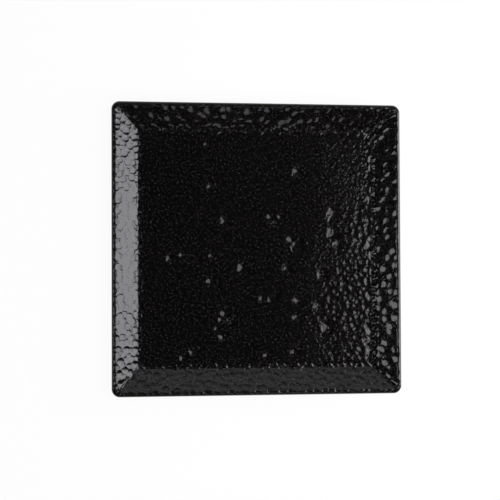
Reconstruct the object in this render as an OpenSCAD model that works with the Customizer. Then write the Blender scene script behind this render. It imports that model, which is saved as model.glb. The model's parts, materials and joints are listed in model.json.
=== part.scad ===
/*
Square dinner plate: a pressed clay tray on a low square foot ring, with a wide sloping rim,
a flat well and three coats of glaze. One wall thickness runs from the well to the lip.
A section of that wall is carried round the square, straight along the sides, mitred inside
the corners and turned about each corner's centre.
*/

/* [Plate] */
// Side of the square from lip to lip, glaze included
side_length = 270; // [200:1:320]
// Radius of the four outer corners, seen from above
corner_radius = 7.5; // [5:0.5:20]
// Depth of the well below the top of the lip
well_depth = 14; // [9:0.5:20]
// Width of the sloping rim, from the outer edge to the fold at the well
rim_width = 25; // [18:0.5:40]

/* [Wall] */
// Thickness of the wall, glaze included
wall_thickness = 5.5; // [4:0.1:8]
// Radius of the hollow where the rim meets the well
fold_radius = 3; // [1:0.5:8]
// Thickness of each coat of glaze
glaze_thickness = 0.7; // [0.4:0.1:1]

/* [Foot ring] */
// Side of the square foot ring, glaze included
foot_span = 170; // [130:1:185]
// Height of the foot ring below the glazed underside
foot_height = 3; // [2.5:0.1:6]
// Width of the clay in the ring
foot_width = 6; // [4:0.5:9]
// Outer radius of the ring's corners, seen from above
foot_corner_radius = 15; // [13:0.5:25]
// Rounding of the ring's two standing edges
foot_edge_radius = 1; // [0.4:0.1:1.4]
// Height of the bare clay above the table, where the glaze is wiped away
bare_height = 1.4; // [1:0.1:2]
// Radius of the glaze pooled between the ring and the underside
pool_radius = 1; // [0.3:0.1:1.1]

/* [Hidden] */
$fn = 96;

// How far a cutting shape runs past what it cuts
overrun = 1;

// Heights above the table
underside = foot_height;
well_floor = underside + wall_thickness;
lip_top = well_floor + well_depth;

// The lip is a full round, centred in the thickness of the wall
half_side = side_length / 2;
lip_radius = wall_thickness / 2;
lip_centre = [half_side - lip_radius, lip_top - lip_radius];

// The rim's face runs from the fold to where it touches the lip's round
well_half = half_side - rim_width;
rim_run = lip_centre[0] - well_half;
rim_rise = lip_centre[1] - well_floor;
rim_slope = atan2(rim_rise, rim_run) + asin(lip_radius / norm([rim_run, rim_rise]));
fold_share = tan(rim_slope / 2);
rim_outward = [sin(rim_slope), -cos(rim_slope)];
fold_centre = [well_half - fold_radius * fold_share, well_floor + fold_radius];

// The foot ring's clay, inside its glaze
foot_outer = foot_span / 2 - glaze_thickness;
foot_outer_radius = foot_corner_radius - glaze_thickness;
foot_inner = foot_outer - foot_width;
foot_inner_radius = foot_outer_radius - foot_width;

// Corner of the section where floor and rim meet, at a depth below the face
function fold_corner(depth) = [well_half + depth * fold_share, well_floor - depth];

// Sliver between that sharp corner and the round that replaces it
module fold_sliver(depth) {
    round_radius = fold_radius + depth;
    difference() {
        polygon([
            [fold_centre[0], well_floor - depth],
            fold_corner(depth),
            fold_centre + round_radius * rim_outward,
            fold_centre
        ]);
        translate(fold_centre)
            circle(r = round_radius);
    }
}

// Half section of the wall from the plate's middle to the lip, drawn in from both faces by an inset
module wall_section(inset) {
    back_depth = wall_thickness - inset;
    end_radius = lip_radius - inset;
    difference() {
        union() {
            polygon([
                [0, well_floor - inset],
                fold_corner(inset),
                lip_centre - end_radius * rim_outward,
                lip_centre + end_radius * rim_outward,
                fold_corner(back_depth),
                [0, well_floor - back_depth]
            ]);
            translate(lip_centre)
                circle(r = end_radius);
            fold_sliver(inset);
        }
        fold_sliver(back_depth);
    }
}

// Everything below the middle of the wall, and below the widest point of the lip
module lower_half() {
    polygon([
        [-overrun, -overrun],
        [-overrun, well_floor - lip_radius],
        fold_corner(lip_radius),
        lip_centre,
        [half_side + overrun, lip_centre[1]],
        [half_side + overrun, -overrun]
    ]);
}

// Both coats of glaze in section
module glaze_section() {
    difference() {
        wall_section(0);
        wall_section(glaze_thickness);
    }
}

// Carries a half section round a square with rounded corners
module around_square(half, radius) {
    straight = half - radius;
    wedge = half + overrun;
    for (quarter = [0:3])
        rotate(quarter * 90) {
            intersection() {
                rotate([90, 0, 0])
                    linear_extrude(height = 2 * straight, center = true)
                        children();
                translate([0, 0, -overrun])
                    linear_extrude(height = lip_top + 2 * overrun)
                        polygon([[0, 0], [wedge, -wedge], [wedge, wedge]]);
            }
            translate([straight, straight, 0])
                rotate_extrude(angle = 90)
                    intersection() {
                        translate([-straight, 0])
                            children();
                        translate([0, -overrun])
                            square([wedge, lip_top + 2 * overrun]);
                    }
        }
}

// Block with rounded corners that reaches from below the table to the middle of the floor
module foot_block(half, radius) {
    translate([0, 0, -overrun])
        linear_extrude(height = overrun + well_floor - lip_radius)
            union() {
                square([2 * half, 2 * (half - radius)], center = true);
                square([2 * (half - radius), 2 * half], center = true);
                for (x = [-1, 1], y = [-1, 1])
                    translate([x * (half - radius), y * (half - radius)])
                        circle(r = radius);
            }
}

// Foot ring's clay in section, with its two standing edges rounded
module foot_section() {
    round_centres = [foot_inner + foot_edge_radius, foot_outer - foot_edge_radius];
    translate([foot_inner, foot_edge_radius])
        square([foot_width, well_floor - lip_radius - foot_edge_radius]);
    translate([round_centres[0], 0])
        square([round_centres[1] - round_centres[0], foot_edge_radius]);
    for (x = round_centres)
        translate([x, foot_edge_radius])
            circle(r = foot_edge_radius);
}

// Glaze on one wall of the foot ring; side is 1 for the outer wall and -1 for the inner one
module foot_glaze_section(wall_at, side) {
    skin_at = wall_at + side * glaze_thickness;
    pool_at = skin_at + side * pool_radius;
    translate([min(wall_at, skin_at), bare_height])
        square([glaze_thickness, underside + glaze_thickness - bare_height]);
    difference() {
        translate([min(skin_at, pool_at), underside - pool_radius])
            square([pool_radius, pool_radius + glaze_thickness]);
        translate([pool_at, underside - pool_radius])
            circle(r = pool_radius);
    }
}

// Half section of the coat in the recess: a flat sheet that turns down the ring's inner wall
module base_section() {
    translate([0, underside])
        square([foot_inner, glaze_thickness]);
    foot_glaze_section(foot_inner, -1);
}

// Pressed tray and its foot ring, in one piece
module clay_body() {
    color("tan") {
        around_square(half_side, corner_radius)
            wall_section(glaze_thickness);
        around_square(foot_outer, foot_outer_radius)
            foot_section();
    }
}

// Thick textured glaze over the well, the rim and the top of the lip
module face_glaze() {
    color([0.05, 0.05, 0.06])
        around_square(half_side, corner_radius)
            difference() {
                glaze_section();
                lower_half();
            }
}

// Plain glaze under the rim, from the lip to the foot ring's outer wall
module back_glaze() {
    color([0.08, 0.08, 0.09])
        union() {
            difference() {
                around_square(half_side, corner_radius)
                    intersection() {
                        glaze_section();
                        lower_half();
                    }
                foot_block(foot_outer, foot_outer_radius);
            }
            around_square(foot_outer, foot_outer_radius)
                foot_glaze_section(foot_outer, 1);
        }
}

// Plain glaze in the recess inside the foot ring
module base_glaze() {
    color([0.1, 0.1, 0.11])
        around_square(foot_inner, foot_inner_radius)
            base_section();
}

clay_body();
face_glaze();
back_glaze();
base_glaze();
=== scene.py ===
# %% [markdown]
# # A square black dinner plate
#
# The plate is one pressed tray of clay on a low square foot ring, coated with glossy black
# glaze. Its face is hammered: shallow round dimples lie side by side over the rim and the well,
# and each one mirrors the room in its own way. That relief is what makes the plate look like
# this plate, so most of the lesson is about it.

# %% Load the frame
import json
from types import SimpleNamespace

import bpy
import numpy as np
from mathutils import Matrix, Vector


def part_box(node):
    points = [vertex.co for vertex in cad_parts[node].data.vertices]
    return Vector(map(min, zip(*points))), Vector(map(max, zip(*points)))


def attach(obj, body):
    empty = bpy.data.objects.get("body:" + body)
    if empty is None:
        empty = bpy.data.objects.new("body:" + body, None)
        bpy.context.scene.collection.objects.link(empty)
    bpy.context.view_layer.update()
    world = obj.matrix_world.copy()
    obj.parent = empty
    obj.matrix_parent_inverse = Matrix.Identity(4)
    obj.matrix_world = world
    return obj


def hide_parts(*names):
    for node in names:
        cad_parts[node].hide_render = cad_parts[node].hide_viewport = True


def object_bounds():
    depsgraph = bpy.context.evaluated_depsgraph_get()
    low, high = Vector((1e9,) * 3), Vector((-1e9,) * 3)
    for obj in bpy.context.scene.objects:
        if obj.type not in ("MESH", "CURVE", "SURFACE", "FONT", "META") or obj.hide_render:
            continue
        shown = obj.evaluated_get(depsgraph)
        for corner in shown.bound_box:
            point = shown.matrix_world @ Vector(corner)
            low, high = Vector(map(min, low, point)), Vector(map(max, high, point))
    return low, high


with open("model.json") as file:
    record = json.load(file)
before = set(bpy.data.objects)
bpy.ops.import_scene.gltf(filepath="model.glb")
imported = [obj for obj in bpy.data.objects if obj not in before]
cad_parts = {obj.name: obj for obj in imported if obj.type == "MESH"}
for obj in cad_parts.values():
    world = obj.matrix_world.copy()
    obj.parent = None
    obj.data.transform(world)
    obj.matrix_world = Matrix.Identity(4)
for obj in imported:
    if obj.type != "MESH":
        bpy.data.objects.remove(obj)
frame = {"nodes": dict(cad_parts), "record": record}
cad_low, cad_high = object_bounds()
MM = 0.001
print("CAD nodes:", ", ".join(sorted(frame["nodes"])))
print("CAD box in mm:", [round((high - low) / MM, 1) for low, high in zip(cad_low, cad_high)])

# %% [markdown]
# ## The plate's own sizes
#
# The width, the height and the level of the well come from the frame. The rest are the sizes of
# the wall and the foot ring, written once and used by every piece, so that clay and glaze stay
# parallel everywhere.

# %% Sizes in metres
half_side = cad_high.x
lip_top = cad_high.z
well_floor = next(m["pos_m"][2] for m in frame["record"]["mounts"] if m["name"] == "well_floor")
wall = 5.5 * MM
glaze = 0.7 * MM
rim_width = 25 * MM
fold_radius = 3 * MM
corner_radius = 7.5 * MM
underside = well_floor - wall
print("well depth in mm:", round((lip_top - well_floor) / MM, 2))

# %% The rim's slope
lip_radius = wall / 2
lip_centre = np.array([half_side - lip_radius, lip_top - lip_radius])
well_half = half_side - rim_width
rim_run, rim_rise = lip_centre - (well_half, well_floor)
rim_slope = np.arctan2(rim_rise, rim_run) + np.arcsin(lip_radius / np.hypot(rim_run, rim_rise))
fold_centre = np.array([well_half - fold_radius * np.tan(rim_slope / 2), well_floor + fold_radius])
print("rim slope in degrees:", round(float(np.degrees(rim_slope)), 1))

# %% Sizes of the foot ring
foot_width = 6 * MM
foot_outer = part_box("base_glaze")[1][0] + foot_width
foot_inner = foot_outer - foot_width
foot_corner = 14.3 * MM
bare_height = 1.4 * MM
pool_radius = 1 * MM
print("foot ring in mm:", round(2 * foot_outer / MM, 1))

# %% [markdown]
# ## Drawing a section
#
# Every skin of the plate is a section carried round a square. A section is a chain of straight
# lines and arcs, so two helpers draw those, a third places points along one at even steps, and a
# fourth joins them. Even steps keep the faces of the mesh alike in size, which a mirror-bright
# finish needs: a long thin face shows as a kink in a reflection.

# %% Lines, arcs and even steps
arc_points = 65


def line(start, end):
    """Two points, the ends of a straight stretch."""
    return np.array([start, end], float)


def arc(centre, radius, first, last):
    """Points on a circle: centre plus radius times cosine and sine of angles from first to last."""
    angle = np.linspace(first, last, arc_points)
    return np.column_stack((centre[0] + radius * np.cos(angle), centre[1] + radius * np.sin(angle)))


def even_steps(chain, count):
    """So many points at equal distances along a chain of points."""
    length = np.concatenate(([0.0], np.cumsum(np.hypot(*np.diff(chain, axis=0).T))))
    at = np.linspace(0.0, length[-1], count)
    return np.column_stack([np.interp(at, length, chain[:, k]) for k in (0, 1)])


def joined(*stretches):
    """Even steps along stretches, each given with its number of points; a shared end is kept once."""
    first, *others = [even_steps(chain, count) for chain, count in stretches]
    return np.vstack([first] + [points[1:] for points in others])


# %% [markdown]
# ## Carrying a section round the square
#
# A point of a section lies at some distance from the plate's middle. Going round, that distance
# is a square whose corners are round near the lip and sharp further in, where two rims meet in a
# mitre. So each ring of points is a square loop with its own corner radius. The same share of
# the way along a side goes to the same column of points on every ring, which makes the mitre an
# unbroken row of edges.

# %% Square loops
almost_zero = 1e-9


def square_loop(half, radius, around):
    """Points round a square with rounded corners, one row for each ring.

    A point's share of the side runs from -1 to 1. Up to the corner it is a distance along the
    side; past it, what is left of the share turns into an angle of up to 45 degrees about the
    corner's centre. A sharp corner has no radius, and a value near zero stands in for it.
    """
    quarter = around // 4
    half, radius = (np.reshape(v, (-1, 1)).astype(float) for v in (half, radius))
    share = np.linspace(-1, 1, quarter + 1)[:-1]
    along = np.abs(share) * half
    straight = half - radius
    turn = np.clip((along - straight) / np.maximum(radius, almost_zero), 0, 1) * np.pi / 4
    out = np.where(turn > 0, straight + radius * np.cos(turn), half)
    along = np.where(turn > 0, straight + radius * np.sin(turn), np.minimum(along, straight))
    side = np.sign(share) * along
    x, y = [], []
    for corner in range(4):
        c, s = np.round([np.cos(corner * np.pi / 2), np.sin(corner * np.pi / 2)])
        x.append(out * c - side * s)
        y.append(out * s + side * c)
    return np.hstack(x), np.hstack(y)


# %% [markdown]
# ## From points to a mesh
#
# The points are worked out as whole arrays, and a mesh takes them in one go. A ring mesh needs
# its four-sided faces listed once: each joins a point, its neighbour round the ring, and the two
# under them on the next ring.

# %% Mesh helpers
def ring_faces(rings, around):
    """Four-sided faces between neighbouring rings, in the order that makes them face outwards."""
    i = np.arange(rings - 1)[:, None] * around
    j = np.arange(around)[None, :]
    k = (j + 1) % around
    return np.stack((i + j, i + around + j, i + around + k, i + k), -1).reshape(-1, 4)


def fan_faces(ring_start, around, tip, up):
    """Triangles from a ring to one middle point, facing up or down."""
    j = ring_start + np.arange(around)
    k = ring_start + (np.arange(around) + 1) % around
    tips = np.full(around, tip)
    return np.stack((j, k, tips) if up else (k, j, tips), -1)


def make_piece(name, points, quads, others=()):
    """A smooth-shaded mesh object at the origin, from points, four-sided faces and any other faces."""
    others = [list(face) for face in others]
    faces = [*np.asarray(quads).tolist(), *others]
    triangles = 2 * len(quads) + sum(len(face) - 2 for face in others)
    mesh = bpy.data.meshes.new(name)
    mesh.from_pydata(points.tolist(), [], faces)
    mesh.polygons.foreach_set("use_smooth", np.ones(len(faces), bool))
    mesh.update()
    piece = bpy.data.objects.new(name, mesh)
    bpy.context.scene.collection.objects.link(piece)
    print(f"{name}: {len(points)} points, {triangles} triangles")
    return piece


# %% [markdown]
# ## The hammered relief
#
# On the real plate the dimples are pressed into the face: round hollows six to nine millimetres
# apart, packed so closely that they meet in thin ridges. A bump map could fake them, but their
# outline shows along the lip and their walls catch lights that a bump map would miss, so here
# they are real. The surface is a height over the plan. Dimples sit on a staggered grid, each
# pushed a little off its place, with its own size and depth. At any point, the deepest of the
# nearby hollows wins, and that choice alone draws the sharp ridges between them.

# %% Dimples as a height
table_side = 64
size_spread = 0.1
hollow_seed = 11
draws = np.random.default_rng(hollow_seed)
shift_table = draws.uniform(-1, 1, (2, table_side, table_side))
size_table = draws.uniform(0, 1, (table_side, table_side))
depth_table = draws.uniform(0, 1, (table_side, table_side))


def dimples(x, y, pitch, shift, reach, origin, crisp, uneven):
    """Height of packed hollows, from -1 at the bottom of a deep one to 0 on the land between them.

    Each hollow is a bowl, distance squared, with a crisp edge added, distance to the eighth
    power; distance is in its own radii. All of that less 1 is multiplied by its own depth, and a
    deeper one is wider too. The lowest of the nine nearest hollows is kept. The grid of pitch
    starts at the origin, and shift and reach are parts of the pitch.
    """
    x, y = x - origin[0], y - origin[1]
    row_step = pitch * np.sqrt(3) / 2
    row = np.floor(y / row_step)
    lowest = np.zeros(np.shape(x))
    for down in (-1, 0, 1):
        this_row = row + down
        stagger = 0.5 * (this_row % 2)
        column = np.floor(x / pitch - stagger)
        for across in (-1, 0, 1):
            i = (column + across).astype(int) % table_side
            j = this_row.astype(int) % table_side
            centre_x = (column + across + 0.5 + stagger + shift * shift_table[0, i, j]) * pitch
            centre_y = (this_row + 0.5 + shift * shift_table[1, i, j]) * row_step
            depth = 1 - uneven * depth_table[i, j]
            radius = reach * pitch * (0.5 * (1 + depth) + size_spread * size_table[i, j])
            away = np.hypot(x - centre_x, y - centre_y) / radius
            bowl = (1 - crisp) * away**2 + crisp * away**8 - 1
            lowest = np.minimum(lowest, depth * bowl)
    return lowest


# %% [markdown]
# ## Zones of the face
#
# The hammer wasn't used alike everywhere. The rim takes its full stroke, and so does the side of
# the well on the right. The rest of the well is struck lightly. The far and right rims have
# larger and looser hollows than the near and left ones, and the middle of the left rim is the
# calmest stretch of all. So the first thing to know about a point is which of these zones it
# lies in, as shares from 0 to 1 that pass softly from one zone to the next. A pair of numbers
# says where such a passage begins and where it ends.

# %% Soft steps and slow waves
wave_seed, wave_count = 5, 7
shortest_wave, longest_wave = 0.7, 1.4


def smooth(low, high, value):
    """Goes from 0 to 1 between low and high, level at both ends: 3 t squared less 2 t cubed."""
    t = np.clip((value - low) / (high - low), 0, 1)
    return t * t * (3 - 2 * t)


def slow_waves(x, y, length):
    """A gentle uneven field, mostly between -1 and 1: a sum of cosines in seeded directions."""
    waves = np.random.default_rng(wave_seed)
    field = np.zeros(np.shape(x))
    for _ in range(wave_count):
        heading, phase = waves.uniform(0, 2 * np.pi, 2)
        step = 2 * np.pi / (length * waves.uniform(shortest_wave, longest_wave))
        field += np.cos(step * (x * np.cos(heading) + y * np.sin(heading)) + phase)
    return field / np.sqrt(2 * wave_count)


# %% Where the zones begin and end
rim_zone = (well_half - 7 * MM, well_half - 1 * MM)
lip_zone = (half_side - 7 * MM, half_side - 4 * MM)
fold_zone = (1 * MM, 6 * MM)
calm_below = (half_side - 13 * MM, half_side - 7 * MM)
calm_stretch = (30 * MM, 80 * MM)
across_diagonal = (-2 * MM, 2 * MM)
light_zone = (5 * MM, 95 * MM)
light_lean = 0.1
heavy_zone = (0, 40 * MM)
heavy_start, heavy_lean, heavy_bow = 58 * MM, 0.35, 3
drift, drift_length = 10 * MM, 60 * MM


def zones(x, y):
    """Shares from 0 to 1 that say where a point of the plan lies.

    The rim, the lip and the fold go by the distance from the middle, measured as on a square.
    The near and left sides lie below the diagonal, where x plus y is negative. Light and heavy
    strokes begin along lines that lean, bow and drift. The calm stretch is the middle of the left
    rim, between its fold and its lip.
    """
    from_middle = np.maximum(np.abs(x), np.abs(y))
    drifted = x + drift * slow_waves(x, y, drift_length)
    zone = SimpleNamespace(past_fold=(from_middle - well_half) / MM)
    zone.rim = smooth(*rim_zone, from_middle)
    zone.lip = smooth(*lip_zone, from_middle)
    zone.fold = 1 - smooth(*fold_zone, np.abs(from_middle - well_half))
    zone.heavy = smooth(*heavy_zone, drifted - (heavy_start + heavy_lean * y + heavy_bow * y**2))
    zone.light = smooth(*light_zone, drifted - light_lean * y)
    zone.near_left = smooth(*across_diagonal, -x - y)
    below_lip = 1 - smooth(*calm_below, from_middle)
    mid_side = 1 - smooth(*calm_stretch, np.abs(y))
    zone.calm = zone.near_left * below_lip * (1 - zone.fold) * mid_side
    return zone


# %% [markdown]
# ## Four sizes of packed hollows
#
# Cobbles cover the well and the near and left rims, and broad hollows take their place on the far
# and right rims. Pebbles and grains are smaller, and fade out towards the left of the well, whose
# glaze is nearly even. Every number for them stands in one place, so that a plate with another
# hammering only needs other numbers. A height is in millimetres until the very end.

# %% Patterns
cobbles = {"pitch": 6.0 * MM, "shift": 0.42, "reach": 0.62, "origin": (0, 0)}
broad = {"pitch": 8.6 * MM, "shift": 0.45, "reach": 0.62, "origin": (-1 * MM, 0)}
pebbles = {"pitch": 4.2 * MM, "shift": 0.4, "reach": 0.6, "origin": (2 * MM, -1 * MM)}
grains = {"pitch": 2.3 * MM, "shift": 0.4, "reach": 0.62, "origin": (-3 * MM, 5 * MM)}
soft_edge, rim_crisper = 0.1, 0.35
cobble_uneven, rim_evener = 0.65, 0.1
broad_uneven, pebble_uneven, grain_uneven = 0.75, 0.8, 0.9


def packed_hollows(x, y, zone):
    """Cobbles, crisper and more alike on the rim, with broad hollows instead on the far and right rims."""
    crisp = soft_edge + rim_crisper * zone.rim * zone.near_left
    packed = dimples(x, y, **cobbles, crisp=crisp, uneven=cobble_uneven - rim_evener * zone.rim)
    large = dimples(x, y, **broad, crisp=soft_edge, uneven=broad_uneven)
    return packed + (large - packed) * (1 - zone.near_left) * zone.rim


kinds = {"cobbles": cobbles, "broad": broad, "pebbles": pebbles, "grains": grains}
print("pitches in mm:", {name: round(kind["pitch"] / MM, 1) for name, kind in kinds.items()})


# %% Depths in millimetres
rim_depth = 0.46
near_left_deeper, lip_deeper, fold_deeper = 0.06, 0.2, 0.3
calm_shallower = 0.22
light_depth, heavy_deeper = 0.02, 0.36
rim_swell, well_swell = 0.04, 0.01
single_clears, clear_depth = 0.8, 0.3


def stroke_depth(zone, waves, single):
    """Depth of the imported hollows: the rim's own on the rim, the well's inside it, both with a slow swell.

    The rim's is more near the lip and the fold and on the near and left sides, and less on the
    calm stretch. The well's grows where the strokes are heavy, and a single hollow clears it away.
    """
    rim = rim_depth + near_left_deeper * zone.near_left + rim_swell * waves
    rim = rim + lip_deeper * zone.lip + fold_deeper * zone.fold - calm_shallower * zone.calm
    well = light_depth + heavy_deeper * zone.heavy + well_swell * waves
    well = well * (1 - single_clears * smooth(0, clear_depth, -single))
    return well + (rim - well) * zone.rim


# %% Pebbles and grains
pebble_depth, pebbles_lost = 0.15, 0.7
grain_depth, grains_lost = 0.10, 0.6
grain_everywhere, grain_on_rim = 0.006, 0.012
small_level = 0.4


def small_hollows(x, y, zone):
    """Heights of the pebbles and of the grains: strong in the light zone, part lost in the heavy one."""
    off_rim = 1 - zone.rim
    pebble = pebble_depth * zone.light * (1 - pebbles_lost * zone.heavy) * off_rim
    grain = grain_depth * zone.light * (1 - grains_lost * zone.heavy) * off_rim
    grain = grain_everywhere + grain + grain_on_rim * zone.rim
    pebble = pebble * (dimples(x, y, **pebbles, crisp=soft_edge, uneven=pebble_uneven) + small_level)
    grain = grain * (dimples(x, y, **grains, crisp=soft_edge, uneven=grain_uneven) + small_level)
    return pebble, grain


# %% [markdown]
# ## Single hollows
#
# The lightly struck part of the well has a few hard strokes, each on its own. In the photograph
# each one shows as a bright spot, the mirror image of a lamp high on the right, in its left wall.
# So the list holds the places of the spots, and the middle of the hollow lies a
# little to the right of its spot.

# %% Hard strokes: the place of the bright spot and the radius, in millimetres
hard_strokes = np.array([
    (-44, 57, 6), (37, 71, 7.5), (43, 69, 5), (-31, 26, 7.5), (-28, 22, 6), (12, 29, 5.5),
    (21, 29, 5.5), (16, 25, 6), (70, 32, 8), (70, 14, 8), (75, 5, 6), (35, 4, 9), (31, 8, 6),
    (48, 5, 5), (-70, -6, 6), (-82, -9, 6.5), (-42, -7, 7), (-15, -18, 8), (27, -18, 7.5),
    (-44, -30, 8), (60, -24, 7), (11, -47, 6.5), (15, -45, 6), (4, -46, 5.5), (37, -48, 7),
    (-31, -60, 8), (-28, -65, 7), (-34, -65, 5.5), (36, -63, 6.5), (56, -53, 6), (64, -73, 8),
    (-38, -73, 5), (-33, -81, 7.5), (-70, -100, 6), (-61, -95, 7), (-57, -92, 5), (8, -98, 5.5),
    (34, -95, 7), (-47, 96, 5),
])
spot_to_centre = 0.6
hollow_depth = 0.1
wobble, wobble_length = 0.05, 7 * MM


def strokes(x, y):
    """Height of the single hollows: a bowl of distance squared, 0 outside, with an unsteady edge.

    The depth and the way from the bright spot to the centre are parts of the radius.
    """
    height = np.zeros(np.shape(x))
    unsteady = wobble * slow_waves(x, y, wobble_length)
    for spot_x, spot_y, radius in MM * hard_strokes:
        away = np.hypot(x - spot_x - spot_to_centre * radius, y - spot_y) / radius + unsteady
        height = np.minimum(height, hollow_depth * radius * (away**2 - 1))
    return height


print(len(hard_strokes), "single hollows")

# %% [markdown]
# ## Uneven mitres and folds
#
# Two rims meet in a mitre, and each rim meets the well in a fold. Ruled straight, these lines
# would cut through the hollows and look machined. On the plate they waver with the hammering. To
# make a mitre waver, one rim is raised and the other lowered by a small jag, and the higher of
# the two is kept. To make a fold waver, the slope starts a little sooner or later.

# %% Mitres and folds
jag_height, jag_length = 0.3, 6 * MM
jag_zone = (1 * MM, 4 * MM)
bend_width, bend_length = 0.8, 6 * MM
straighter = 0.7


def mitre_jags(x, y, zone):
    """The higher of two slopes, one raised and one lowered by the jag, less the plain higher one."""
    to_mitre = np.abs(x) - np.abs(y)
    jag = jag_height * slow_waves(x, y, jag_length) * (1 - smooth(*jag_zone, np.abs(to_mitre)))
    drop = np.tan(rim_slope) * to_mitre / MM
    return zone.rim * np.maximum(np.minimum(drop, 0) + jag, -np.maximum(drop, 0) - jag)


def fold_bends(x, y, zone):
    """The slope started a bend sooner, less the plain slope; near and left, the bend is slight."""
    widest = bend_width - straighter * zone.near_left
    bend = widest * zone.fold * slow_waves(x, y, bend_length)
    return np.tan(rim_slope) * (np.maximum(zone.past_fold + bend, 0) - np.maximum(zone.past_fold, 0))


# %% [markdown]
# ## The whole relief
#
# The parts add up to one height. The hollows are moved up by half their depth, so that the land
# between them stands above the smooth surface by as much as they sink below it, and nothing goes
# deeper than the glaze is thick.

# %% Height of the relief
packed_level = 0.5
swell, swell_length = 0.02, 45 * MM
well_raised = 0.2
deepest = -0.62


def relief(x, y):
    """Height that the hammering adds at a point of the plan, in metres."""
    zone = zones(x, y)
    waves = slow_waves(x, y, swell_length)
    single = strokes(x, y) / MM * (1 - zone.rim)
    pebble, grain = small_hollows(x, y, zone)
    height = stroke_depth(zone, waves, single) * (packed_hollows(x, y, zone) + packed_level)
    height = height + pebble + grain + swell * waves + single + well_raised * (1 - zone.rim)
    height = height + mitre_jags(x, y, zone) + fold_bends(x, y, zone)
    return MM * np.maximum(height, deepest)


slope_step = 0.1 * MM


def lift(points, normals, share):
    """Moves points up by a share of the relief; a normal loses its z times the relief's slope."""
    x, y = points[..., 0], points[..., 1]
    height = relief(x, y)
    along_x = relief(x + slope_step, y) - height
    along_y = relief(x, y + slope_step) - height
    slope = np.stack((along_x, along_y), -1) / slope_step
    points, normals = points.copy(), normals.copy()
    points[..., 2] += share * height
    normals[..., :2] -= normals[..., 2:] * share[..., None] * slope
    return points, normals / np.linalg.norm(normals, axis=-1, keepdims=True)


samples_across = 541
places = np.linspace(-half_side, half_side, samples_across)
sample = relief(*np.meshgrid(places, places)) / MM
print("relief in mm, from", round(float(sample.min()), 2), "to", round(float(sample.max()), 2))

# %% [markdown]
# ## Rings and shells
#
# A coat of glaze is thin but solid: an outer skin that is seen, and an inner skin that lies on
# the clay. Both are rows of one section, so a coat is a section that runs out along one skin and
# back along the other. Joined end to end it's a closed ring, with no open edge to show.

# %% Ring helpers
def loops_of(section, corner_of, around):
    """Points of a section carried round the square, as rows by points by three coordinates."""
    x, y = square_loop(section[:, 0], corner_of(section[:, 0]), around)
    z = np.repeat(section[:, 1:2], around, axis=1)
    return np.stack((x, y, z), -1)


def closed_ring(name, loops):
    """A shell from rows that run out along one skin and back along the other, joined end to end."""
    rows, around, _ = loops.shape
    j = np.arange(around)
    k = (j + 1) % around
    last = (rows - 1) * around
    joint = np.stack((last + j, j, k, last + k), -1)
    return make_piece(name, loops.reshape(-1, 3), np.vstack((ring_faces(rows, around), joint)))


mid_slope = 12 * MM
mid_corner = 1.5 * MM


def outer_corner(distance):
    """Corner radius of a ring of the tray: the plate's own at the edge, none where the slope starts."""
    fold = fold_centre[0]
    return np.interp(distance, [fold, fold + mid_slope, half_side], [0, mid_corner, corner_radius])


# %% [markdown]
# ## Normals that are worked out, not guessed
#
# Smooth shading guesses a point's normal from the faces round it, and on a mirror that guess
# blunts every ridge. Here the height is a formula, so the true normal is known, and the mesh
# gets it. It also hides the cuts: two pieces that meet are given the same normal, so the
# reflection runs on from one to the other.

# %% Give a mesh its normals
hidden_edge_angle = np.radians(60)


def set_normals(piece, normals):
    """True normals for the first points of a mesh; the rest, which nobody sees, keep Blender's own."""
    own = np.zeros((len(piece.data.vertices), 3))
    own[: len(normals)] = normals
    piece.data.set_sharp_from_angle(angle=hidden_edge_angle)
    piece.data.normals_split_custom_set_from_vertices(own.tolist())


# %% [markdown]
# ## The hammered rim
#
# The rim's coat starts at the fold, climbs the slope and ends at the widest point of the lip. The
# dimples move its points straight up or down, and fade out as the surface turns over the lip,
# where the glaze of the face meets the glaze of the back. A dimple's wall is under a millimetre
# wide, so the steps are a third of that. One mesh that fine would be too heavy, so the coat is
# cut along its four mitres, where its shape turns anyway.

# %% Section of the face
face_lean = np.pi / 2 + rim_slope


def face_section(depth, fold_steps, slope_steps, lip_steps):
    """Fold, slope and lip in section at a depth below the face, from the well's edge outwards."""
    fold = arc(fold_centre, fold_radius + depth, -np.pi / 2, -np.pi / 2 + rim_slope)
    lip = arc(lip_centre, lip_radius - depth, face_lean, 0)
    slope = line(fold[-1], lip[0])
    return joined((fold, fold_steps + 1), (slope, slope_steps + 1), (lip, lip_steps + 1))


quarter_cells = 312
side_cells = 2 * quarter_cells
seen_rows = face_section(0, fold_steps=5, slope_steps=68, lip_steps=17)
hidden_rows = face_section(glaze, fold_steps=2, slope_steps=1, lip_steps=3)[::-1]
well_step = 2 * fold_centre[0] / side_cells
print("rows over the rim:", len(seen_rows), "| one step in the well in mm:", round(well_step / MM, 2))


# %% Shape of the whole rim
fading_from = lip_centre[0] - 0.4 * MM
smooth_from = half_side - 0.2 * MM


def rim_shape():
    """Loops round the square and the normals of the seen ones; the relief fades over the lip."""
    loops = loops_of(np.vstack((seen_rows, hidden_rows)), outer_corner, 4 * side_cells)
    seen = loops[: len(seen_rows)]
    around = np.roll(seen, -1, axis=1) - np.roll(seen, 1, axis=1)
    normals = np.cross(np.gradient(seen, axis=0), around)
    normals[0] = (0, 0, 1)
    normals[-1, :, 2] = 0
    normals /= np.linalg.norm(normals, axis=-1, keepdims=True)
    share = 1 - smooth(fading_from, smooth_from, seen_rows[:, :1])
    loops[: len(seen_rows)], normals = lift(seen, normals, np.broadcast_to(share, seen.shape[:2]))
    return loops, normals


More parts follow.
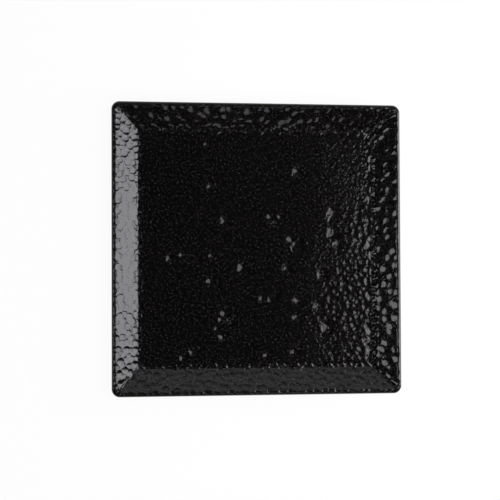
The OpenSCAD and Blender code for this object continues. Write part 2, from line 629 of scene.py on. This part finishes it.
# %% Cut it into four sides
def rim_side(name, loops, normals):
    """One side: the closed ring of rows, with a flat end at each mitre."""
    rows, columns, _ = loops.shape
    number = np.arange(rows * columns).reshape(rows, columns)
    below = np.roll(number, -1, axis=0)
    faces = np.stack((number[:, :-1], below[:, :-1], below[:, 1:], number[:, 1:]), -1).reshape(-1, 4)
    ends = [number[::-1, 0].tolist(), number[:, -1].tolist()]
    piece = make_piece(name, loops.reshape(-1, 3), faces, ends)
    set_normals(piece, normals.reshape(-1, 3))
    return piece


rim_loops, rim_normals = rim_shape()
face_pieces = []
for turn, place in enumerate(("right", "far", "left", "near")):
    columns = np.arange(turn * side_cells, (turn + 1) * side_cells + 1) % (4 * side_cells)
    face_pieces.append(rim_side(f"hammered_rim_{place}", rim_loops[:, columns], rim_normals[:, columns]))

# %% [markdown]
# ## The hammered well
#
# The well is the plate's flat floor. Rings of points would crowd together at its middle, so here
# it is a plain grid of even squares, in four quarters that keep each mesh light. Its border has
# the same points as the first ring of the rim, with the same heights and normals, so the coats
# meet without a gap or a line.

# %% Build the well
def well_quarter(name, low, high):
    """A grid with the relief on top, a wall round its border, and a flat lower side."""
    n = quarter_cells
    grid_x, grid_y = np.meshgrid(*(np.linspace(low[k], high[k], n + 1) for k in (0, 1)), indexing="ij")
    level = np.stack((grid_x, grid_y, np.full_like(grid_x, well_floor)), -1)
    top, normals = lift(level, np.zeros_like(level) + (0, 0, 1), np.ones_like(grid_x))
    top = top.reshape(-1, 3)
    number = np.arange((n + 1) ** 2).reshape(n + 1, n + 1)
    cells = np.stack((number[:-1, :-1], number[1:, :-1], number[1:, 1:], number[:-1, 1:]), -1)
    k = np.arange(n)
    border = np.concatenate((number[n, k], number[n - k, n], number[0, n - k], number[k, 0]))
    under = len(top) + np.arange(4 * n)
    wall_round = np.stack((border, under, np.roll(under, -1), np.roll(border, -1)), -1)
    bottom = top[border] * (1, 1, 0) + (0, 0, well_floor - glaze)
    quads = np.vstack((cells.reshape(-1, 4), wall_round))
    piece = make_piece(name, np.vstack((top, bottom)), quads, [under[::-1].tolist()])
    set_normals(piece, normals.reshape(-1, 3))
    return piece


well_edge = fold_centre[0]
for across, low_x, high_x in (("left", -well_edge, 0), ("right", 0, well_edge)):
    for away, low_y, high_y in (("near", -well_edge, 0), ("far", 0, well_edge)):
        name = f"hammered_well_{across}_{away}"
        face_pieces.append(well_quarter(name, (low_x, low_y), (high_x, high_y)))

# %% [markdown]
# ## The glazed back
#
# The underside is glazed too, from the lip down to the foot ring's outer wall, and again inside
# the ring. It isn't hammered, so one coat of glaze lies smooth over the slope, the round under
# the fold and the flat. Where it meets the ring the glaze pools in a small hollow, and it stops
# short of the table so that the plate doesn't stick in the kiln. A thickened copy of the face
# would carry the dimples through to the back, so each coat here is drawn as a section of its own.

# %% Corners under the plate
def back_corner(distance):
    """Corner radius under the plate: the lip's own near the edge, the foot ring's near the ring."""
    near_foot = np.interp(distance, [foot_outer + 2 * glaze + pool_radius, fold_centre[0]], [1, 0])
    foot_round = foot_corner + (distance - foot_outer)
    return np.where(distance < fold_centre[0], foot_round * near_foot, outer_corner(distance))


# %% Build the back
def glazed_back():
    """Lower lip, slope, round, flat, pool and ring wall outside; the same a coat deeper inside."""
    back_lean = rim_slope - np.pi / 2
    wall_at = foot_outer + glaze
    pool_at = wall_at + pool_radius
    lip = arc(lip_centre, lip_radius, 0, back_lean)
    under_fold = arc(fold_centre, fold_radius + wall, back_lean, -np.pi / 2)
    pool = arc((pool_at, underside - pool_radius), pool_radius, np.pi / 2, np.pi)
    ring_wall = line(pool[-1], (wall_at, bare_height))
    slope = line(lip[-1], under_fold[0])
    flat = line(under_fold[-1], pool[0])
    outside = joined((lip, 9), (slope, 21), (under_fold, 9), (flat, 18), (pool, 7), (ring_wall, 3))
    inner_lip = arc(lip_centre, lip_radius - glaze, back_lean, 0)
    inner_fold = arc(fold_centre, fold_radius + wall - glaze, -np.pi / 2, back_lean)
    inside = np.vstack((
        [(foot_outer, bare_height), (foot_outer, underside + glaze)],
        even_steps(inner_fold, 5),
        even_steps(inner_lip, 5),
    ))
    section = np.vstack((outside, inside))
    return closed_ring("glazed_back", loops_of(section, back_corner, 2 * side_cells))


back = glazed_back()

# %% Corners inside the foot ring
inner_corner = foot_corner - (foot_outer - foot_inner)


def recess_corner(distance):
    """Corner radius inside the ring: its wall's own, less the way in from the wall, and at least zero."""
    return np.maximum(inner_corner - (foot_inner - distance), 0.0)


# %% Build the glaze inside the ring
smallest_loop = 2 * MM


def glazed_recess():
    """Flat sheet, pool and the ring's inner wall, with a plain upper side a coat higher."""
    wall_at = foot_inner - glaze
    pool_at = wall_at - pool_radius
    pool = arc((pool_at, underside - pool_radius), pool_radius, np.pi / 2, 0)
    hidden = underside + glaze
    upper_side = [(smallest_loop, hidden), (foot_inner, hidden), (foot_inner, bare_height)]
    ring_wall = line((wall_at, bare_height), pool[-1])
    sheet = line(pool[0], (smallest_loop, underside))
    section = np.vstack((upper_side, joined((ring_wall, 3), (pool[::-1], 7), (sheet, 30))))
    around = side_cells
    loops = loops_of(section, recess_corner, around)
    tip = loops[..., 0].size
    points = np.vstack((loops.reshape(-1, 3), [(0, 0, section[0, 1]), (0, 0, section[-1, 1])]))
    last = tip - around
    ends = np.vstack((fan_faces(0, around, tip, up=True), fan_faces(last, around, tip + 1, up=False)))
    return make_piece("glazed_recess", points, ring_faces(len(section), around), ends.tolist())


recess = glazed_recess()

# %% [markdown]
# ## Joining the frame
#
# Each new piece rides on the plate's one body and stands for the plain solid of the same coat.
# The fired clay keeps its solid, because only the standing face of the ring shows, and that
# shape is right already.

# %% Ride and replace
back_edge_angle = np.radians(40)
for piece, node, finish in (
    *((piece, "face_glaze", "textured_black_glaze") for piece in face_pieces),
    (back, "back_glaze", "plain_black_glaze"),
    (recess, "base_glaze", "plain_black_glaze"),
):
    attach(piece, "root")
    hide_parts(node)
for piece in (back, recess):
    piece.data.set_sharp_from_angle(angle=back_edge_angle)
print(len(face_pieces) + 2, "pieces ride on the plate's body")

# %% [markdown]
# ## Black glaze
#
# A glossy black glaze is nearly all reflection: its own colour is so dark that what is seen is
# the room. Real glaze still varies. Its colour has a faint dark mottle of its own, and the pale
# specks in it are painted highlights: the glints of tiny pits, put into the colour. At the lip,
# where the glaze is thin, the clay below lends it a green brown tinge. It carries pinholes and a
# skin like orange peel, and its gloss isn't the same everywhere. All of these come from noise on
# Object coordinates, which are metres here, so a scale of 1000 means features of one millimetre.
# The frame's solids have materials with these names already, so Blender adds .001 to the new ones.

# %% A material and its nodes
def new_material(name):
    """An empty node tree with a Principled shader wired to the output."""
    material = bpy.data.materials.new(name)
    material.use_nodes = True
    nodes = material.node_tree.nodes
    nodes.clear()
    output = nodes.new("ShaderNodeOutputMaterial")
    shader = nodes.new("ShaderNodeBsdfPrincipled")
    material.node_tree.links.new(shader.outputs["BSDF"], output.inputs["Surface"])
    return material, shader


def noise(material, scale, detail):
    """Noise on Object coordinates; scale is in features a metre, detail is the number of finer layers."""
    nodes, links = material.node_tree.nodes, material.node_tree.links
    place = nodes.new("ShaderNodeTexCoord")
    field = nodes.new("ShaderNodeTexNoise")
    field.inputs["Scale"].default_value = scale
    field.inputs["Detail"].default_value = detail
    links.new(place.outputs["Object"], field.inputs["Vector"])
    return field.outputs["Fac"]


def ramp(material, value, *stops):
    """Turns a value into a colour through stops of (position, colour)."""
    node = material.node_tree.nodes.new("ShaderNodeValToRGB")
    band = node.color_ramp
    while len(band.elements) < len(stops):
        band.elements.new(0.5)
    for element, (position, colour) in zip(band.elements, stops):
        element.position = position
        element.color = (*colour, 1)
    material.node_tree.links.new(value, node.inputs["Fac"])
    return node.outputs["Color"]


def spread(material, value, low, high, to_low, to_high):
    """Maps a value from one range to another and holds it inside."""
    node = material.node_tree.nodes.new("ShaderNodeMapRange")
    for socket, number in zip(("From Min", "From Max", "To Min", "To Max"), (low, high, to_low, to_high)):
        node.inputs[socket].default_value = number
    material.node_tree.links.new(value, node.inputs["Value"])
    return node.outputs["Result"]


def bump(material, value, distance, under=None):
    """A bump of so many metres, on top of another bump if one is given."""
    node = material.node_tree.nodes.new("ShaderNodeBump")
    node.inputs["Distance"].default_value = distance
    material.node_tree.links.new(value, node.inputs["Height"])
    if under is not None:
        material.node_tree.links.new(under, node.inputs["Normal"])
    return node.outputs["Normal"]


# %% Pinholes
pinhole_reach = 0.3


def pinholes(material, scale):
    """Small round pits: the distance to the nearest scattered point, level beyond a reach in cells."""
    nodes, links = material.node_tree.nodes, material.node_tree.links
    place = nodes.new("ShaderNodeTexCoord")
    cells = nodes.new("ShaderNodeTexVoronoi")
    cells.inputs["Scale"].default_value = scale
    links.new(place.outputs["Object"], cells.inputs["Vector"])
    pit = spread(material, cells.outputs["Distance"], 0.0, pinhole_reach, 0, 1)
    pit.node.interpolation_type = "SMOOTHSTEP"
    return pit


# %% Height for the tinge at the lip
def height_above_table(material):
    """The Z of Object coordinates."""
    nodes, links = material.node_tree.nodes, material.node_tree.links
    place = nodes.new("ShaderNodeTexCoord")
    split = nodes.new("ShaderNodeSeparateXYZ")
    links.new(place.outputs["Object"], split.inputs["Vector"])
    return split.outputs["Z"]


# %% [markdown]
# ## Numbers of the glaze
#
# A pattern is a scale, in features a metre, and the number of finer layers on it. A colour is
# linear light, so that 0.004 is a black that only a strong lamp brings out. Noise hardly ever
# leaves the range from 0.3 to 0.7, which is why the stops of a ramp stand close together.

# %% Patterns and colours of the glaze
usual_low, usual_high = 0.3, 0.7
# The glaze's own dark mottle, with pale specks painted in as highlights: the glints of tiny pits.
mottle_and_glint_pattern = (800, 4)
mottle_and_glint_stops = (
    (0.38, (0.0002, 0.0001, 0.0002)),
    (0.60, (0.0040, 0.0034, 0.0038)),
    (0.71, (0.053, 0.046, 0.049)),
)
tinge_pattern = (260, 3)
tinge_stops = ((0.35, (0.003, 0.0033, 0.0028)), (0.7, (0.009, 0.0095, 0.0075)))
tinge_from, tinge_full = lip_top - 1.0 * MM, lip_top + 0.1 * MM
gloss_pattern = (120, 3)
peel_pattern = (520, 2)
pinhole_scale, pinhole_depth = 850, 0.06 * MM
glaze_ior = 1.5


# %% The black glaze
def black_glaze(name, peel, glossiest, dullest):
    """Near-black glaze with a dark mottle and painted pale glints, a tinge at the lip, orange peel of so
    many metres and uneven gloss.
    """
    material, shader = new_material(name)
    links = material.node_tree.links
    # Dark mottle of the glaze's own colour plus pale specks painted in as highlights, the glints of tiny
    # pits.
    grain = ramp(material, noise(material, *mottle_and_glint_pattern), *mottle_and_glint_stops)
    tinge = ramp(material, noise(material, *tinge_pattern), *tinge_stops)
    mix = material.node_tree.nodes.new("ShaderNodeMix")
    mix.data_type = "RGBA"
    thin = spread(material, height_above_table(material), tinge_from, tinge_full, 0, 1)
    links.new(thin, mix.inputs["Factor"])
    links.new(grain, mix.inputs["A"])
    links.new(tinge, mix.inputs["B"])
    links.new(mix.outputs["Result"], shader.inputs["Base Color"])
    gloss = noise(material, *gloss_pattern)
    roughness = spread(material, gloss, usual_low, usual_high, glossiest, dullest)
    links.new(roughness, shader.inputs["Roughness"])
    skin_of_glaze = bump(material, noise(material, *peel_pattern), peel)
    pits = bump(material, pinholes(material, pinhole_scale), pinhole_depth, under=skin_of_glaze)
    links.new(pits, shader.inputs["Normal"])
    shader.inputs["IOR"].default_value = glaze_ior
    return material


textured = black_glaze("textured_black_glaze", peel=0.02 * MM, glossiest=0.03, dullest=0.07)
for piece in face_pieces:
    piece.data.materials.append(textured)
plain = black_glaze("plain_black_glaze", peel=0.05 * MM, glossiest=0.05, dullest=0.14)
back.data.materials.append(plain)
recess.data.materials.append(plain)
print("glazes:", textured.name, "and", plain.name)

# %% [markdown]
# ## Fired clay
#
# The ring's standing face is bare: a dense brown-grey body, rubbed flat after firing, with iron
# specks and a grain that a finger can feel. Only this narrow band shows, so the CAD solid keeps
# its shape and gets a material, mixed from noise of four sizes.

# %% The clay
body_pattern, body_stops = (180, 5), ((0.3, (0.26, 0.205, 0.155)), (0.7, (0.40, 0.335, 0.265)))
speck_pattern, speck_stops = (1400, 2), ((0.62, (1, 1, 1)), (0.72, (0.25, 0.2, 0.17)))
rub_pattern, rubbed, raw = (600, 3), 0.7, 0.92
tooth_pattern, tooth = (2200, 4), 0.12 * MM


def fired_clay():
    """Mottled clay with dark specks, rough and grainy."""
    material, shader = new_material("fired_clay")
    links = material.node_tree.links
    body = ramp(material, noise(material, *body_pattern), *body_stops)
    speck = ramp(material, noise(material, *speck_pattern), *speck_stops)
    mix = material.node_tree.nodes.new("ShaderNodeMix")
    mix.data_type = "RGBA"
    mix.blend_type = "MULTIPLY"
    mix.inputs["Factor"].default_value = 1
    links.new(body, mix.inputs["A"])
    links.new(speck, mix.inputs["B"])
    links.new(mix.outputs["Result"], shader.inputs["Base Color"])
    rub = noise(material, *rub_pattern)
    links.new(spread(material, rub, usual_low, usual_high, rubbed, raw), shader.inputs["Roughness"])
    links.new(bump(material, noise(material, *tooth_pattern), tooth), shader.inputs["Normal"])
    return material


clay = frame["nodes"]["clay_body"]
clay.data.materials[0] = fired_clay()
print("clay:", clay.data.materials[0].name)

# %% [markdown]
# ## Table and room
#
# The plate stands on a white table in a studio. The table's own colour is white, and part of it
# glows so that it stays even to the corners, while the rest still takes the plate's soft shadow.
# Overhead the room is dark, which is why the flat well looks black, and near the horizon it is
# as white as the table.

# %% The table
table_reach = 6.0
table_gap = 0.02 * MM
table_paint = (0.9, 0.9, 0.9, 1)
glow_share = 0.92


def white_table():
    """A large square just under the plate: part white paint, part even glow, and clear from below."""
    corners = np.array([(-1, -1, 0), (1, -1, 0), (1, 1, 0), (-1, 1, 0)], float)
    table = make_piece("table", table_reach * corners - (0, 0, table_gap), [(0, 1, 2, 3)])
    material = bpy.data.materials.new("white_table")
    material.use_nodes = True
    nodes, links = material.node_tree.nodes, material.node_tree.links
    nodes.clear()
    output = nodes.new("ShaderNodeOutputMaterial")
    paint = nodes.new("ShaderNodeBsdfDiffuse")
    paint.inputs["Color"].default_value = table_paint
    glow = nodes.new("ShaderNodeEmission")
    even = nodes.new("ShaderNodeMixShader")
    even.inputs["Fac"].default_value = glow_share
    seen = nodes.new("ShaderNodeMixShader")
    clear = nodes.new("ShaderNodeBsdfTransparent")
    side = nodes.new("ShaderNodeNewGeometry")
    links.new(paint.outputs["BSDF"], even.inputs[1])
    links.new(glow.outputs["Emission"], even.inputs[2])
    links.new(side.outputs["Backfacing"], seen.inputs["Fac"])
    links.new(even.outputs["Shader"], seen.inputs[1])
    links.new(clear.outputs["BSDF"], seen.inputs[2])
    links.new(seen.outputs["Shader"], output.inputs["Surface"])
    table.data.materials.append(material)


white_table()

# %% The room
horizon_up_to, dark_from = 0.05, 0.14
horizon_light, overhead_light = 1.0, 0.02


def room_world():
    """White to the camera; to the glaze, white at the horizon and dark overhead."""
    world = bpy.data.worlds.new("room")
    bpy.context.scene.world = world
    world.use_nodes = True
    nodes, links = world.node_tree.nodes, world.node_tree.links
    nodes.clear()
    output = nodes.new("ShaderNodeOutputWorld")
    white, dim = (nodes.new("ShaderNodeBackground") for _ in range(2))
    for sky in (white, dim):
        sky.inputs["Color"].default_value = (1, 1, 1, 1)
    place = nodes.new("ShaderNodeTexCoord")
    split = nodes.new("ShaderNodeSeparateXYZ")
    path = nodes.new("ShaderNodeLightPath")
    seen = nodes.new("ShaderNodeMixShader")
    links.new(place.outputs["Generated"], split.inputs["Vector"])
    level = spread(world, split.outputs["Z"], horizon_up_to, dark_from, horizon_light, overhead_light)
    links.new(level, dim.inputs["Strength"])
    links.new(path.outputs["Is Camera Ray"], seen.inputs["Fac"])
    links.new(dim.outputs["Background"], seen.inputs[1])
    links.new(white.outputs["Background"], seen.inputs[2])
    links.new(seen.outputs["Shader"], output.inputs["Surface"])


room_world()
print("room:", bpy.context.scene.world.name)

# %% [markdown]
# ## Lamps
#
# Every bright shape on the plate, apart from the pale specks painted into the glaze's colour as
# glints, is the mirror image of a lamp, so each lamp has one job. The window on the right, with a
# brighter core low in it, fills the left rim. A dim wall beyond the plate, in three layers, greys
# the near rim. The round lamps put spots in the hollows: the one in front does so on the far rim,
# the one on the left on the right rim, and the one high on the right in the well. The soft fill
# isn't mirrored at all. It only brings out the painted specks and mottle of the glaze and lights
# the clay.

# %% A lamp
def lamp(name, centre, aim, width, height, radiance, colour=(1, 0.97, 0.985), shape="RECTANGLE"):
    """A flat lamp, in metres, that faces a point; its power is radiance times pi, width and height.

    A round lamp has the same power on a smaller face, so it is brighter than its number by 4 over pi.
    """
    data = bpy.data.lights.new(name, "AREA")
    data.shape = shape
    data.size, data.size_y = width, height
    data.energy = radiance * np.pi * width * height
    data.color = colour
    data.normalize = True
    item = bpy.data.objects.new(name, data)
    item.location = centre
    toward = np.array(aim, float) - centre
    forward = toward / np.linalg.norm(toward)
    across = np.cross(forward, (0, 0, 1))
    across /= np.linalg.norm(across)
    upward = np.cross(across, forward)
    turn = np.column_stack((across, upward, -forward))
    item.rotation_mode = "QUATERNION"
    item.rotation_quaternion = Matrix(turn.tolist()).to_quaternion()
    item.visible_camera = False
    bpy.context.scene.collection.objects.link(item)
    print(f"{name}: {width} x {height} m, radiance {radiance}")
    return item


def level_lamp(name, centre, **looks):
    """A lamp that faces level: one at the side straight across, one beyond the plate to its middle."""
    x, y, z = centre
    aim = (0.0, y, z) if abs(x) > abs(y) else (0.0, 0.0, z)
    return lamp(name, centre, aim, **looks)


# %% Place the lamps
daylight = (0.97, 0.96, 1.0)
plate_middle = (0.0, 0.0, 0.0)
level_lamp("window_right", (0.40, 0.0225, 0.28), width=0.375, height=0.56, radiance=4.2, colour=daylight)
level_lamp("window_core", (0.41, 0.02, 0.20), width=0.30, height=0.16, radiance=1.2, colour=daylight)
level_lamp("wall_beyond", (0.0, 0.9, 0.40), width=1.6, height=0.80, radiance=0.38)
level_lamp("wall_beyond_core", (0.1, 0.91, 0.50), width=1.4, height=0.14, radiance=0.32)
level_lamp("wall_beyond_top", (0.0, 0.92, 1.10), width=1.6, height=0.60, radiance=0.06)
for name, centre, width, height, radiance in (
    ("lamp_in_front", (0.13, -0.64, 0.67), 0.28, 0.26, 1.0),
    ("lamp_left", (-0.90, -0.05, 1.12), 0.45, 0.45, 2.6),
    ("lamp_above_right", (1.37, -0.08, 3.00), 0.74, 0.74, 2.0),
):
    lamp(name, centre, plate_middle, width, height, radiance, shape="ELLIPSE")
white = (1, 1, 1)
overhead = (0.0, -0.3, 1.9)
soft_fill = lamp("soft_fill", overhead, plate_middle, width=2.0, height=2.0, radiance=2.4, colour=white)
soft_fill.visible_glossy = False

# %% [markdown]
# ## Camera
#
# The picture is taken from almost straight above, a little to the left, from about one metre
# thirty. So long a lens keeps the sides of the plate nearly parallel.

# %% Camera
lens_mm, sensor_mm = 100.8, 36
camera_place = (-197.3 * MM, -38.8 * MM, 1298.0 * MM)
camera_turn = np.radians((1.706, -8.437, -0.231))
camera_data = bpy.data.cameras.new("camera")
camera_data.lens = lens_mm
camera_data.sensor_width = sensor_mm
camera = bpy.data.objects.new("camera", camera_data)
camera.location = camera_place
camera.rotation_euler = camera_turn
bpy.context.scene.collection.objects.link(camera)
bpy.context.scene.camera = camera
bpy.context.scene.view_settings.view_transform = "Standard"
print("camera in mm:", [round(float(v) / MM, 1) for v in camera_place])
